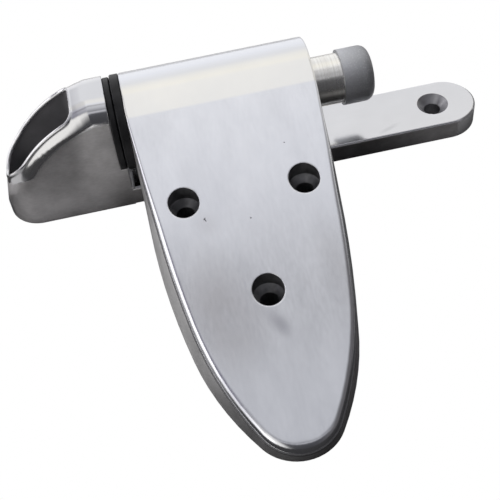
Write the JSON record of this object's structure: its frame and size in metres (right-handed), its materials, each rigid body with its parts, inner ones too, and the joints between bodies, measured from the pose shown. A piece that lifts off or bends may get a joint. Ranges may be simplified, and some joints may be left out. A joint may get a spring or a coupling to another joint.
{
  "type": "cam-rise door hinge",
  "caption": "Cam-rise hinge for a cooler door: a tapered screw-on strap swings about a fixed pin and climbs nylon cams, so the door lifts as it opens and closes by itself.",
  "frame": {"origin": "on the flange's mounting face, below the pin's axis and at the middle of the barrel", "axes": "+X along the pin from the housing to the cap, -Y towards the strap's tip, +Z out of the mounting faces"},
  "size_m": [0.2132, 0.1752, 0.0562],
  "materials": {
    "flange_casting": "polished, with a satin front face",
    "strap_casting": "satin polished",
    "pin_steel": "turned",
    "cap_plastic": "fine grain",
    "cam_nylon": "satin",
    "bush_nylon": "matte"
  },
  "bodies": {
    "frame_side": {"flange": "flange_casting", "hinge_pin": "pin_steel", "end_cap": "cap_plastic", "lower_cam": "cam_nylon", "roll_pin": "pin_steel"},
    "floating_bush": {"barrel_bush": "bush_nylon"},
    "door_side": {"strap": "strap_casting", "upper_cam": "cam_nylon"}
  },
  "joints": [
    {"name": "cam_rise", "type": "slide", "parent": "frame_side", "child": "floating_bush", "axis": [1, 0, 0], "range_m": [0, 0.0106]},
    {"name": "door_swing", "type": "hinge", "parent": "floating_bush", "child": "door_side", "pos_m": [0, 0, 0.036], "axis": [-1, 0, 0], "range_deg": [0, 120]}
  ],
  "couplings": [
    {"joint": "cam_rise", "follows": "door_swing", "m_per_rad": 0.0050134}
  ]
}
